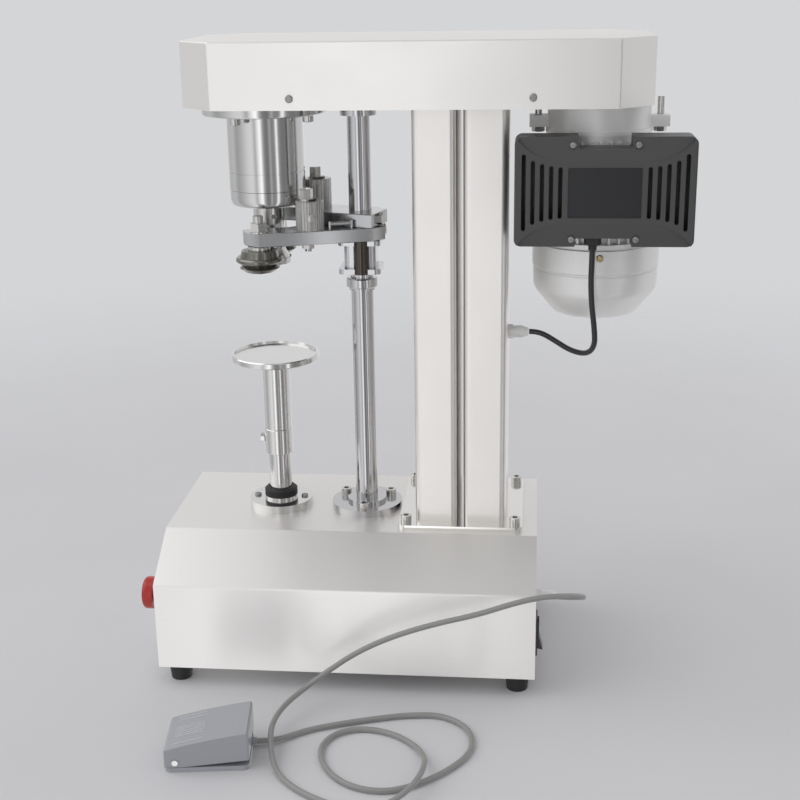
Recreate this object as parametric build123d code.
from build123d import *
import os
from math import asin, cos, degrees, hypot, radians, sin, tan

# Can seamer, in millimetres. While it is drawn, X runs along the base from its middle, Y runs back
# from the front of the base and Z runs up from the floor. The finished pieces are then moved so that
# the origin is the middle of the machine's footprint.

# Shared clearances and overruns
running_gap = 0.05
free_gap = 0.3
seat_gap = 0.1
overrun = 5.0

# Base cabinet
base_length = 451.8
base_depth = 265.3
foot_height = 23.7
crease_height = 131.0
base_top = 175.0
slope_run = 73.6
base_sheet = 1.5
base_bend = 3.0
foot_inset_x = 21.0
foot_inset_y = 24.0
foot_radius = 15.0
foot_tip_radius = 12.5
foot_recess_radius = 6.0
foot_recess_depth = 8.0
vent_length = 60.0
vent_width = 4.0
vent_pitch = 10.0
vent_count = 9
inner_plate_thickness = 8.0
inner_plate_length = 380.0
inner_plate_margin = 14.0

# Twin column and its foot plate
column_x = 133.3
machine_y = 161.0
tube_width = 51.5
tube_depth = 120.0
tube_gap = 7.0
tube_wall = 3.0
tube_corner = 8.0
foot_plate_length = 150.0
foot_plate_depth = 168.0
foot_plate_thickness = 6.0
foot_plate_corner = 8.0
foot_plate_shift = 5.0
foot_bolt_span_x = 132.0
foot_bolt_span_y = 138.0

# Head
head_bottom = 677.0
head_top = 750.0
cover_length = 524.4
cover_x = 83.8
cover_depth = 206.6
cover_chamfer = 39.9
cover_sheet = 1.5
cover_bend = 2.0
head_plate_thickness = 8.0
tab_length = 18.0
tab_width = 10.0
tab_height = 18.0
tab_span = 264.0
cover_screw_rise = 12.5
cover_screw_x = 82.0

# Bolts: socket head, hexagon head and small pan head
bolt_diameter = 8.0
bolt_head_diameter = 13.0
bolt_head_height = 8.0
bolt_socket = 6.0
bolt_socket_depth = 4.0
bolt_length = 20.0
hex_across_flats = 13.0
hex_height = 6.0
hex_bolt_diameter = 8.0
hex_bolt_length = 14.0
screw_diameter = 4.0
screw_head_diameter = 8.4
screw_head_height = 2.6
screw_slot_width = 1.2
screw_slot_depth = 1.0
screw_length = 10.0
column_bolt_offset = 65.5
column_bolt_shift = 18.0

# Spindle
spindle_x = -98.1
flange_radius = 73.5
flange_thickness = 12.5
flange_fillet = 2.0
housing_radius = 45.0
housing_bottom = 578.0
housing_bore = 27.0
housing_groove_depth = 1.2
housing_groove_width = 1.6
bearing_radius = 31.0
bearing_width = 16.0
bearing_shoulder = 4.0
housing_bolt_circle = 120.0
housing_bolt_count = 4
housing_bolt_angle = 67.0
cap_bottom = 558.5
cap_rounding = 9.0
spindle_radius = 15.0
pulley_seat_radius = 12.0
spindle_top = 724.0
adapter_radius = 18.5
adapter_top = 557.5
adapter_bottom = 504.0
spindle_nose_radius = 11.0
spindle_nose_bottom = 512.0
set_screw_radius = 3.0
set_screw_height = 545.0
chuck_radius = 25.0
chuck_lip_height = 7.0
chuck_lip_draft = 0.8
chuck_flange_radius = 23.0
chuck_bottom = 488.0
chuck_relief_radius = 19.0
chuck_relief_depth = 2.0
chuck_screw_radius = 5.0
chuck_screw_head_radius = 8.0
chuck_screw_head_height = 5.0
chuck_screw_socket = 5.0

# Motor
motor_x = 289.0
motor_neck_radius = 58.5
motor_neck_bottom = 648.0
motor_ring_radius = 60.5
motor_ring_height = 5.0
lug_reach = 79.0
lug_width = 22.0
lug_height = 13.0
lug_bolt_reach = 69.0
motor_core_radius = 60.0
motor_fin_radius = 68.0
motor_fin_width = 2.4
motor_fin_count = 36
motor_body_bottom = 517.0
motor_wall = 7.0
end_ring_radius = 71.0
end_ring_height = 6.0
cowl_radius = 73.5
cowl_step_height = 489.0
cowl_step_radius = 71.0
cowl_taper_height = 472.0
cowl_bottom = 432.0
cowl_bottom_radius = 46.0
cowl_wall = 2.0
cowl_top = 511.0
cowl_vent_radius = 30.0
cowl_vent_width = 4.0
cowl_vent_length = 22.0
cowl_vent_count = 12
stator_bore = 33.0
stator_height = 70.0
rotor_radius = 32.0
rotor_height = 74.0
rotor_middle = 580.0
motor_shaft_radius = 9.5
motor_shaft_top = 722.0
motor_shaft_bottom = 452.0
fan_radius = 44.0
fan_hub_radius = 15.0
fan_height = 18.0
fan_middle = 478.0
fan_blade_width = 2.5
fan_blade_count = 9

# Belt drive under the head cover
belt_height = 706.0
belt_thickness = 8.0
belt_width = 13.0
belt_inner_width = 7.2
spindle_pitch_radius = 60.0
motor_pitch_radius = 30.0
pulley_rim_height = 20.0
pulley_lip = 1.0
pulley_groove_bottom_gap = 2.0
pulley_hub_height = 26.0
pulley_hub_radius = 20.0
pulley_web_thickness = 8.0
pulley_rim_thickness = 7.0

# Control box on the motor
box_x = 292.4
box_width = 195.2
box_bottom = 528.5
box_top = 648.0
box_front = 52.0
box_split = 82.0
box_back = 92.4
box_corner = 8.0
box_wall = 2.5
box_edge = 2.0
notch_width = 58.0
notch_depth = 13.5
lower_notch_width = 62.0
lower_notch_depth = 9.5
recess_width = 80.0
recess_height = 54.8
recess_depth = 2.0
recess_corner = 3.0
waist_rise = 26.0
waist_flat = 80.0
waist_slope_depth = 5.0
slot_width = 4.6
slot_pitch = 9.9
slot_first_offset = 48.0
slot_count = 5
slot_half_height_shares = (0.234, 0.244, 0.262, 0.29, 0.349)
box_screw_span = 70.0
box_screw_inset = 8.6
box_screw_recess_radius = 4.6
box_screw_recess_depth = 1.2
box_screw_radius = 3.6
box_screw_length = 20.0
boot_width = 19.0
boot_height = 9.0
boot_x = 281.5
boot_y = 68.0
boot_depth = 14.0
boot_tail = 6.0
boot_tail_radius = 4.6

# Lead from the control box to the column
lead_radius = 3.2
lead_points = [
    (281.5, 68.0, 513.5),
    (280.9, 67.4, 487.0),
    (282.6, 66.8, 459.0),
    (286.4, 67.6, 432.0),
    (287.6, 73.5, 411.0),
    (279.5, 86.5, 397.5),
    (261.5, 104.5, 396.5),
    (244.0, 122.5, 403.0),
    (230.5, 133.0, 408.6),
    (220.0, 135.0, 411.0),
    (213.0, 135.0, 411.0),
]
column_gland_y = 135.0
column_gland_z = 411.0

# Cable glands
gland_nut_radius = 8.6
gland_nut_height = 6.0
gland_dome_radius = 7.2
gland_length = 24.0
gland_thread_radius = 6.0
gland_thread_length = 8.0
gland_mouth_radius = 4.4

# Seaming lever shaft
rod_x = 11.9
rod_radius = 13.55
rod_bottom = 104.0
rod_top = 676.4
rod_foot_radius = 43.8
rod_foot_height = 8.0
rod_foot_hub_radius = 24.2
rod_foot_hub_height = 12.0
rod_foot_bolt_circle = 66.0
rod_foot_bolt_count = 3
rod_foot_bolt_angle = 30.0
rod_foot_sleeve_radius = 19.0
rod_foot_sleeve_bottom = 140.0
rod_top_collar_radius = 21.5
rod_top_collar_height = 15.0
rod_collar_radius = 19.0
rod_collar_height = 12.0
rod_collar_bottom = 458.5
rod_collar_chamfer = 1.2
rod_washer_radius = 16.0
rod_washer_height = 3.0
arm_length = 62.0
arm_width = 30.0
arm_thickness = 14.0
arm_bottom = 110.0
arm_pin_radius = 9.0
arm_pin_height = 14.0

# Seaming levers, drawn along the line from the shaft towards the roller
lever_angle = 17.8
lever_thickness = 16.0
front_lever_bottom = 518.0
lever_front = 30.6
lever_back = 24.0
lever_tip_back = 6.0
lever_tail = 25.0
lever_tail_chamfer_run = 16.7
lever_tail_chamfer = 9.0
lever_taper_start = 45.0
lever_taper_end = 85.0
lever_end = 139.8
lever_end_chamfer_run = 14.5
lever_end_chamfer = 20.0
lever_edge = 0.8
stud_along = 124.0
stud_across = 19.5
drum_along = 62.7
drum_across = 14.2
drum_radius = 16.4
drum_height = 34.0
drum_flute_count = 30
drum_flute_depth = 0.9
drum_screw_radius = 4.6
drum_screw_socket = 4.0
drum_screw_height = 14.5
drum_screw_depth = 1.0
drum_bolt_offset = 3.0
drum_bolt_head = 11.5
drum_bolt_flats = 13.0
drum_washer_radius = 9.0
drum_washer_height = 2.0
drum_bolt_radius = 4.0
drum_nut_height = 6.5
drum_bolt_end = 3.5
lever_screw_flats = 13.0
lever_screw_height = 5.0
lever_screw_radius = 4.0
lever_screw_depth = 9.0
spring_radius = 3.0
spring_root_radius = 2.2
spring_coils = 13
spring_along = 16.0
spring_length = 24.0
spring_across = 23.0
spring_lift = 6.0
spring_post_radius = 1.8
spring_post_height = 9.0

# Spool clamp under the front lever
spool_plate = 50.0
spool_plate_thickness = 6.0
spool_height = 40.0
spool_waist = 38.0
spool_corner = 7.0
spool_pin_radius = 9.3
spool_pin_shift_x = 2.5
spool_pin_shift_y = 20.0
spool_split_width = 3.0

# Seaming rollers
roller_radius = 27.5
roller_top_radius = 22.5
roller_lower_radius = 23.4
roller_base_radius = 17.5
roller_groove_radius = 20.5
roller_flange_height = 6.2
roller_top_height = 7.5
roller_lower_height = 6.5
roller_cone_height = 4.5
roller_bottom = 489.0
roller_pin_radius = 6.0
roller_pin_head_radius = 5.2
roller_pin_head_height = 3.0
roller_counterbore_radius = 8.5
roller_counterbore_depth = 6.0
roller_pin_flange_radius = 8.0
roller_spacer_radius = 13.0
roller_nut_flats = 17.0
roller_nut_height = 9.5
roller_washer_radius = 11.0
roller_washer_height = 2.0
roller_stud_end = 8.0

# Lift shaft and can table
lift_radius = 13.8
lift_bottom = 92.0
lift_top = 334.0
lift_flange_radius = 39.5
lift_flange_height = 10.0
lift_guide_radius = 21.0
lift_guide_bottom = 112.0
lift_ring_height = 3.0
lift_screw_circle = 60.0
lift_screw_count = 2
lift_follower_radius = 9.0
lift_follower_width = 10.0
lift_fork_gap = 11.0
lift_fork_depth = 14.0
seal_radius = 20.5
seal_height = 10.6
seal_lip_radius = 17.5
seal_lip_height = 2.6
sleeve_radius = 17.6
sleeve_bottom = 245.0
sleeve_height = 32.7
sleeve_chamfer = 0.8
sleeve_screw_height = 18.0
sleeve_screw_radius = 3.0
sleeve_screw_head_radius = 5.0
sleeve_screw_head = 5.0
stem_radius = 17.0
table_radius = 54.0
table_top = 375.0
table_rim_width = 5.0
table_recess = 3.0
table_floor = 5.0
table_boss_radius = 26.0
table_edge = 1.2
table_bore_top = 356.0

# Cam drive inside the base
cam_radius = 30.0
cam_offset = 12.0
cam_thickness = 14.0
cam_shaft_radius = 9.0
gearbox_width = 70.0
gearbox_depth = 34.0
gearbox_height = 64.0
drive_motor_radius = 27.0
drive_motor_length = 90.0
gearbox_corner = 6.0

# Emergency stop on the left end
estop_y = 60.0
estop_z = 93.0
estop_radius = 20.0
estop_cap_thickness = 14.0
estop_neck_radius = 12.5
estop_tip = 255.0
estop_collar_radius = 14.5
estop_collar_height = 9.0
estop_body_radius = 11.0
estop_body_length = 30.0
estop_block_width = 26.0
estop_block_height = 34.0
estop_block_length = 24.0
estop_stem_radius = 6.0
estop_travel = 5.0
estop_cap_rounding = 5.5

# Rocker switch and cable gland on the right end
rocker_y = 40.0
rocker_z = 64.6
rocker_height = 48.3
rocker_width = 25.0
rocker_flange = 2.2
rocker_flange_rim = 3.0
rocker_body_depth = 20.0
rocker_cap_gap = 0.4
rocker_cap_depth = 9.0
rocker_cap_stand = 2.0
rocker_tilt = 7.0
rocker_pivot_radius = 1.5
base_gland_y = 38.0
base_gland_z = 114.2

# Mains inlet at the back
inlet_x = 150.0
inlet_z = 60.0
inlet_width = 50.0
inlet_height = 23.0
inlet_flange = 3.0
inlet_mouth_width = 24.6
inlet_mouth_height = 17.0
inlet_mouth_depth = 17.0
inlet_corner_cut = 5.5
inlet_body_width = 28.0
inlet_body_height = 20.0
inlet_body_depth = 24.0
inlet_blade_width = 2.0
inlet_blade_height = 4.0
inlet_blade_length = 12.0
inlet_blade_span = 7.0
inlet_screw_span = 40.0

# Foot pedal on its cable
pedal_x = -171.5
pedal_y = -185.5
pedal_turn = 7.0
pedal_length = 92.0
pedal_width = 68.0
pedal_corner = 7.0
pedal_plate = 5.5
pedal_block_length = 20.0
pedal_block_height = 17.0
pedal_block_inset = 3.4
pedal_pin_along = 12.0
pedal_pin_height = 12.0
pedal_pin_radius = 2.5
pedal_pin_head_radius = 3.4
pedal_pin_head = 1.2
pedal_heel_height = 27.0
pedal_knee_along = 48.0
pedal_knee_height = 38.0
pedal_toe_height = 45.0
pedal_shell = 2.6
pedal_skirt_gap = 0.6
pedal_toe_gap = 6.6
pedal_edge = 2.0
pedal_switch_length = 28.0
pedal_switch_width = 20.0
pedal_switch_height = 12.0
pedal_switch_along = 46.0
pedal_relief_radius = 4.6
pedal_relief_length = 5.0
pedal_cable_across = 46.0
pedal_cable_height = 7.4

# Pedal cable from the base gland to the pedal
cable_radius = 3.25
cable_points = [
    (249.9, 38.0, 114.2),
    (264.5, 37.5, 115.2),
    (278.5, 27.0, 120.5),
    (281.5, 6.0, 129.5),
    (266.0, -11.5, 137.5),
    (239.0, -17.0, 141.0),
    (204.0, -20.0, 133.5),
    (160.0, -24.0, 118.5),
    (110.0, -27.0, 106.5),
    (62.0, -28.5, 90.0),
    (20.0, -29.0, 68.5),
    (-15.0, -32.0, 43.5),
    (-43.0, -45.0, 25.5),
    (-60.0, -72.0, 20.5),
    (-66.5, -106.0, 20.6),
    (-63.5, -142.0, 20.6),
    (-54.5, -173.0, 6.5),
    (-39.0, -196.0, 3.3),
    (-10.0, -221.0, 3.3),
    (28.0, -239.0, 3.3),
    (67.0, -241.0, 4.5),
    (93.0, -225.0, 14.0),
    (105.5, -202.0, 17.5),
    (110.0, -175.0, 17.5),
    (106.5, -144.0, 7.0),
    (94.0, -117.0, 3.3),
    (66.0, -94.0, 3.3),
    (29.0, -86.0, 3.3),
    (-1.0, -102.0, 3.3),
    (-11.0, -134.0, 3.3),
    (2.0, -173.0, 3.3),
    (32.0, -202.0, 3.3),
    (70.0, -209.0, 3.3),
    (104.0, -192.5, 3.3),
    (137.0, -161.0, 3.3),
    (159.0, -123.0, 3.3),
    (154.0, -80.0, 3.3),
    (122.0, -52.5, 3.3),
    (82.0, -54.5, 3.3),
    (44.0, -65.5, 3.3),
    (6.0, -79.0, 3.3),
    (-29.0, -94.0, 3.3),
    (-52.0, -114.0, 4.4),
    (-67.33, -126.36, 7.4),
    (-80.83, -128.02, 7.4),
]
cable_first_turn_share = 0.45

# Origin of the finished machine
machine_left = -estop_tip
machine_right = box_x + box_width / 2
gearbox_front = machine_y + cam_thickness / 2 + free_gap
gearbox_y = gearbox_front + gearbox_depth / 2
machine_back = base_depth + inlet_flange + screw_head_height
origin_x = (machine_left + machine_right) / 2
origin_y = machine_back / 2

head_plate_top = head_bottom + head_plate_thickness
inner_plate_top = base_top - base_sheet
inner_plate_bottom = inner_plate_top - inner_plate_thickness
foot_plate_top = base_top + foot_plate_thickness
tube_x_offset = (tube_width + tube_gap) / 2
foot_plate_y = machine_y + foot_plate_shift
rear_lever_bottom = front_lever_bottom + lever_thickness
rear_lever_top = rear_lever_bottom + lever_thickness


def upright(radius, low, high, x=0.0, y=0.0):
    """Cylinder standing between two heights."""
    return Pos(x, y, (low + high) / 2) * Cylinder(radius, high - low)


def block(x0, x1, y0, y1, z0, z1):
    """Rectangular solid between two corners."""
    return Pos((x0 + x1) / 2, (y0 + y1) / 2, (z0 + z1) / 2) * Box(x1 - x0, y1 - y0, z1 - z0)


def turned(points, x=0.0, y=0.0):
    """Turned piece: a closed half outline of (radius, height) points revolved about an upright axis."""
    outline = Plane.XZ * make_face(Polyline(*points, close=True))
    return Pos(x, y, 0) * revolve(outline, Axis.Z)


def hexagon(flats, low, high, x=0.0, y=0.0, turn=0.0):
    """Hexagonal prism between two heights, sized across its flats."""
    outline = RegularPolygon(flats / 2, 6, major_radius=False)
    return Pos(x, y, low) * Rot(0, 0, turn) * extrude(outline, amount=high - low)


def hex_head(flats, low, high, x=0.0, y=0.0, turn=0.0):
    """Hexagonal head with its top corners turned off."""
    corner = flats / 2 / cos(radians(30))
    slope = (corner - flats / 2) * tan(radians(30))
    body = hexagon(flats, low, high, x, y, turn)
    turning = turned([(0, low), (corner, low), (corner, high - slope), (flats / 2, high), (0, high)], x, y)
    return body & turning


def socket_bolt(x, y, seat, length, down=True):
    """Socket head bolt whose head sits on a face at the height seat, with the shank below it."""
    head = upright(bolt_head_diameter / 2, 0, bolt_head_height)
    head = chamfer(head.edges().group_by(Axis.Z)[-1], screw_slot_depth / 2)
    head -= hexagon(bolt_socket, bolt_head_height - bolt_socket_depth, bolt_head_height + overrun)
    bolt = head + upright(bolt_diameter / 2, -length, 0)
    return Pos(x, y, seat) * (bolt if down else Rot(180, 0, 0) * bolt)


def hex_bolt(x, y, seat, length, down=True):
    """Hexagon bolt whose head sits on a face at the height seat."""
    bolt = hex_head(hex_across_flats, 0, hex_height) + upright(hex_bolt_diameter / 2, -length, 0)
    return Pos(x, y, seat) * (bolt if down else Rot(180, 0, 0) * bolt)


def pan_screw(head_radius, shank_radius, length):
    """Slotted pan head screw standing on the plane z = 0 with its shank below it."""
    head = upright(head_radius, 0, screw_head_height)
    head = fillet(head.edges().group_by(Axis.Z)[-1], screw_head_height / 2)
    slot = block(-head_radius, head_radius, -screw_slot_width / 2, screw_slot_width / 2,
                 screw_head_height - screw_slot_depth, screw_head_height + overrun)
    return head - slot + upright(shank_radius, -length, 0)


def polar(count, radius, start=0.0):
    """Places around a circle as (x, y, angle)."""
    step = 360 / count
    return [(radius * cos(radians(start + i * step)), radius * sin(radians(start + i * step)),
             start + i * step) for i in range(count)]


def foot_places():
    """Middles of the four feet."""
    x = base_length / 2 - foot_inset_x
    return [(side * x, y) for side in (-1, 1) for y in (foot_inset_y, base_depth - foot_inset_y)]


def foot_bolt_places():
    """Middles of the four bolts in the column's foot plate."""
    return [(column_x + i * foot_bolt_span_x / 2, foot_plate_y + j * foot_bolt_span_y / 2)
            for i in (-1, 1) for j in (-1, 1)]


def rod_foot_bolt_places():
    """Middles of the bolts in the lever shaft's foot flange."""
    return [(rod_x + x, machine_y + y)
            for x, y, _ in polar(rod_foot_bolt_count, rod_foot_bolt_circle / 2, rod_foot_bolt_angle)]


def lift_screw_places():
    """Middles of the screws in the lift shaft's flange."""
    return [(spindle_x + x, machine_y + y) for x, y, _ in polar(lift_screw_count, lift_screw_circle / 2)]


def base_outline(inset=0.0):
    """Side outline of the cabinet, as (y, z) points, moved in by a wall."""
    lean = degrees(asin(slope_run / hypot(slope_run, base_top - crease_height)))
    low = inset * tan(radians(lean / 2))
    high = inset * tan(radians((90 - lean) / 2))
    return [(inset, foot_height), (inset, crease_height - low), (slope_run + high, base_top - inset),
            (base_depth - inset, base_top - inset), (base_depth - inset, foot_height)]


def base_shell():
    """Folded stainless cabinet, open below, with its cut-outs."""
    solid = extrude(Plane.YZ * make_face(Polyline(*base_outline(), close=True)), amount=base_length / 2,
                    both=True)
    folds = solid.edges().filter_by(Axis.X).sort_by(Axis.Z)[2:]
    solid = fillet(folds, base_bend)
    inner = extrude(Plane.YZ * make_face(Polyline(*base_outline(base_sheet), close=True)),
                    amount=base_length / 2 - base_sheet, both=True)
    inner = fillet(inner.edges().filter_by(Axis.X).sort_by(Axis.Z)[2:], base_bend - base_sheet)
    inner += block(-base_length / 2 + base_sheet, base_length / 2 - base_sheet, base_sheet,
                   base_depth - base_sheet, foot_height - overrun, foot_height + overrun)
    shell = solid - inner
    shell -= upright(lift_guide_radius + free_gap, inner_plate_top - overrun, base_top + overrun,
                     spindle_x, machine_y)
    shell -= upright(rod_foot_sleeve_radius + free_gap, inner_plate_top - overrun, base_top + overrun,
                     rod_x, machine_y)
    for x, y in foot_bolt_places() + rod_foot_bolt_places():
        shell -= upright(bolt_diameter / 2 + seat_gap, inner_plate_top - overrun, base_top + overrun, x, y)
    for x, y in lift_screw_places():
        shell -= upright(screw_diameter / 2 + seat_gap, inner_plate_top - overrun, base_top + overrun, x, y)
    end = base_length / 2
    shell -= Pos(-end, estop_y, estop_z) * Rot(0, 90, 0) * Cylinder(estop_body_radius + seat_gap, overrun)
    shell -= Pos(end, base_gland_y, base_gland_z) * Rot(0, 90, 0) * Cylinder(
        gland_thread_radius + seat_gap, overrun)
    shell -= Pos(end, rocker_y, rocker_z) * Box(overrun, rocker_width - 2 * rocker_flange_rim + 2 * seat_gap,
                                                 rocker_height - 2 * rocker_flange_rim + 2 * seat_gap)
    shell -= Pos(inlet_x, base_depth, inlet_z) * Box(inlet_body_width + 2 * seat_gap, overrun,
                                                     inlet_body_height + 2 * seat_gap)
    for side in (-1, 1):
        shell -= Pos(inlet_x + side * inlet_screw_span / 2, base_depth, inlet_z) * Rot(90, 0, 0) * Cylinder(
            screw_diameter / 2 + seat_gap, overrun)
    return shell


def base_bottom_plate():
    """Vented plate that closes the cabinet from below."""
    margin = base_sheet + seat_gap
    plate = block(-base_length / 2 + margin, base_length / 2 - margin, margin, base_depth - margin,
                  foot_height, foot_height + base_sheet)
    for i in range(vent_count):
        x = (i - (vent_count - 1) / 2) * vent_pitch
        slot = extrude(SlotOverall(vent_length, vent_width), amount=overrun)
        plate -= Pos(x, base_depth / 2, foot_height - base_sheet) * Rot(0, 0, 90) * slot
    return plate


def rubber_feet():
    """Four tapered rubber feet, each with a screw recess below."""
    feet = []
    for x, y in foot_places():
        foot = turned([(0, foot_recess_depth), (foot_recess_radius, foot_recess_depth),
                       (foot_recess_radius, 0), (foot_tip_radius, 0), (foot_radius, foot_height),
                       (0, foot_height)], x, y)
        feet.append(foot)
    return Compound(feet)


def inner_plate():
    """Steel plate under the cabinet's top, which carries the column, the shaft foot and the lift guide."""
    plate = block(-inner_plate_length / 2, inner_plate_length / 2, slope_run + inner_plate_margin,
                  base_depth - inner_plate_margin, inner_plate_bottom, inner_plate_top)
    plate -= upright(lift_guide_radius + seat_gap, inner_plate_bottom - overrun, base_top, spindle_x,
                     machine_y)
    plate -= upright(rod_foot_sleeve_radius + seat_gap, inner_plate_bottom - overrun, base_top, rod_x,
                     machine_y)
    for x, y in foot_bolt_places() + rod_foot_bolt_places():
        plate -= upright(bolt_diameter / 2 + seat_gap, inner_plate_bottom - overrun, base_top, x, y)
    for x, y in lift_screw_places():
        plate -= upright(screw_diameter / 2 + seat_gap, inner_plate_bottom - overrun, base_top, x, y)
    return plate


def column_foot_plate():
    """Flat steel plate under the twin column."""
    plate = Pos(column_x, foot_plate_y, base_top) * extrude(
        RectangleRounded(foot_plate_length, foot_plate_depth, foot_plate_corner),
        amount=foot_plate_thickness)
    for x, y in foot_bolt_places():
        plate -= upright(bolt_diameter / 2 + seat_gap, base_top - overrun, foot_plate_top + overrun, x, y)
    return plate


def column_tubes():
    """Two rounded rectangular tubes side by side, with the lead's hole in the right one."""
    outer = RectangleRounded(tube_width, tube_depth, tube_corner)
    inner = RectangleRounded(tube_width - 2 * tube_wall, tube_depth - 2 * tube_wall, tube_corner - tube_wall)
    tubes = [Pos(column_x + side * tube_x_offset, machine_y, foot_plate_top) * extrude(
        outer - inner, amount=head_bottom - foot_plate_top) for side in (-1, 1)]
    wall = column_x + tube_x_offset + tube_width / 2 - tube_wall / 2
    tubes[1] -= Pos(wall, column_gland_y, column_gland_z) * Rot(0, 90, 0) * Cylinder(
        gland_thread_radius + seat_gap, tube_wall + overrun)
    return Compound(tubes)


def head_outline(inset):
    """Eight-sided outline of the head, moved in by a distance."""
    half_length = cover_length / 2 - inset
    half_depth = cover_depth / 2 - inset
    cut = cover_chamfer - inset * (2 - hypot(1, 1))
    points = [(-half_length + cut, -half_depth), (half_length - cut, -half_depth),
              (half_length, -half_depth + cut), (half_length, half_depth - cut),
              (half_length - cut, half_depth), (-half_length + cut, half_depth),
              (-half_length, half_depth - cut), (-half_length, -half_depth + cut)]
    return Pos(cover_x, machine_y, 0) * make_face(Polyline(*points, close=True))


def tab_places():
    """Middles of the four tabs that hold the cover, with the side that they face."""
    return [(cover_screw_x + i * tab_span / 2, side) for i in (-1, 1) for side in (-1, 1)]


def head_plate():
    """Thick plate across the column's top that carries the spindle housing and the motor."""
    inset = cover_sheet + free_gap
    plate = Pos(0, 0, head_bottom) * extrude(head_outline(inset), amount=head_plate_thickness)
    face = cover_depth / 2 - inset
    for x, side in tab_places():
        near = machine_y + side * (face - tab_width)
        far = machine_y + side * face
        plate += block(x - tab_length / 2, x + tab_length / 2, min(near, far), max(near, far), head_bottom,
                       head_bottom + tab_height)
    plate -= upright(housing_bore, head_bottom - overrun, head_plate_top + overrun, spindle_x, machine_y)
    plate -= upright(motor_shaft_radius * 2, head_bottom - overrun, head_plate_top + overrun, motor_x,
                     machine_y)
    for x, y, _ in polar(housing_bolt_count, housing_bolt_circle / 2, housing_bolt_angle):
        plate -= upright(bolt_diameter / 2 + seat_gap, head_bottom - overrun, head_plate_top + overrun,
                         spindle_x + x, machine_y + y)
    for x, y in hex_bolt_places():
        plate -= upright(hex_bolt_diameter / 2 + seat_gap, head_bottom - overrun, head_plate_top + overrun,
                         x, y)
    for x, side in tab_places():
        plate -= Pos(x, machine_y + side * face, head_bottom + cover_screw_rise) * Rot(90, 0, 0) * Cylinder(
            screw_diameter / 2 + seat_gap, 2 * tab_width)
    return plate


def hex_bolt_places():
    """Hexagon bolts that come up through the head plate beside the column and through the motor's lugs."""
    column = [(column_x + side * column_bolt_offset, machine_y - column_bolt_shift) for side in (-1, 1)]
    motor = [(motor_x + side * lug_bolt_reach, machine_y) for side in (-1, 1)]
    return column + motor


def head_cover():
    """Folded white cover, open below, with round bends."""
    solid = Pos(0, 0, head_bottom) * extrude(head_outline(0.0), amount=head_top - head_bottom)
    solid = fillet(solid.edges().filter_by(Axis.Z) + solid.edges().group_by(Axis.Z)[-1], cover_bend)
    inner = Pos(0, 0, head_bottom - overrun) * extrude(
        head_outline(cover_sheet), amount=head_top - head_bottom - cover_sheet + overrun)
    cover = solid - inner
    for x, side in tab_places():
        cover -= Pos(x, machine_y + side * cover_depth / 2, head_bottom + cover_screw_rise) * Rot(
            90, 0, 0) * Cylinder(screw_diameter / 2 + seat_gap, overrun)
    return cover


def panel_screws():
    """Pan head screws of the head cover, the mains inlet, the lift flange and the control box."""
    screw = pan_screw(screw_head_diameter / 2, screw_diameter / 2, screw_length)
    screws = []
    for x, side in tab_places():
        screws.append(Pos(x, machine_y + side * cover_depth / 2, head_bottom + cover_screw_rise)
                      * Rot(-90 * side, 0, 0) * screw)
    for side in (-1, 1):
        screws.append(Pos(inlet_x + side * inlet_screw_span / 2, base_depth + inlet_flange, inlet_z)
                      * Rot(-90, 0, 0) * screw)
    return Compound(screws + lift_screws() + box_screws())


def spindle_housing():
    """Flanged housing under the head plate, bored for two ball bearings."""
    flange_low = head_bottom - flange_thickness
    groove = housing_bottom + bearing_width + bearing_shoulder
    outline = [(housing_bore, housing_bottom + bearing_width), (bearing_radius, housing_bottom + bearing_width),
               (bearing_radius, housing_bottom), (housing_radius, housing_bottom),
               (housing_radius, groove), (housing_radius - housing_groove_depth, groove),
               (housing_radius - housing_groove_depth, groove + housing_groove_width),
               (housing_radius, groove + housing_groove_width),
               (housing_radius, flange_low), (flange_radius, flange_low), (flange_radius, head_bottom),
               (bearing_radius, head_bottom), (bearing_radius, head_bottom - bearing_width),
               (housing_bore, head_bottom - bearing_width)]
    housing = turned(outline)
    rims = housing.edges().filter_by(GeomType.CIRCLE)
    outer_rim = [e for e in rims if e.radius == flange_radius and e.center().Z < head_bottom]
    housing = fillet(outer_rim, flange_fillet)
    for x, y, _ in polar(housing_bolt_count, housing_bolt_circle / 2, housing_bolt_angle):
        housing -= upright(bolt_diameter / 2 + seat_gap, flange_low - overrun, head_bottom + overrun, x, y)
    return Pos(spindle_x, machine_y, 0) * housing


def spindle_end_cap():
    """Cap that closes the housing below and keeps the lower bearing in."""
    bore = spindle_radius + free_gap
    outline = [(bore, cap_bottom), (housing_radius, cap_bottom), (housing_radius, housing_bottom),
               (bore, housing_bottom)]
    cap = turned(outline)
    rim = [e for e in cap.edges().filter_by(GeomType.CIRCLE)
           if e.radius == housing_radius and e.center().Z < housing_bottom]
    return Pos(spindle_x, machine_y, 0) * fillet(rim, cap_rounding)


def ball_bearing(bottom, bore, outer, width):
    """Sealed ball bearing as one turned ring with sunk shields."""
    step = (outer - bore) / 5
    dip = width / 12
    return turned([(bore, bottom), (bore + step, bottom), (bore + step, bottom + dip),
                   (outer - step, bottom + dip), (outer - step, bottom), (outer, bottom),
                   (outer, bottom + width), (outer - step, bottom + width),
                   (outer - step, bottom + width - dip), (bore + step, bottom + width - dip),
                   (bore + step, bottom + width), (bore, bottom + width)])


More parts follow.
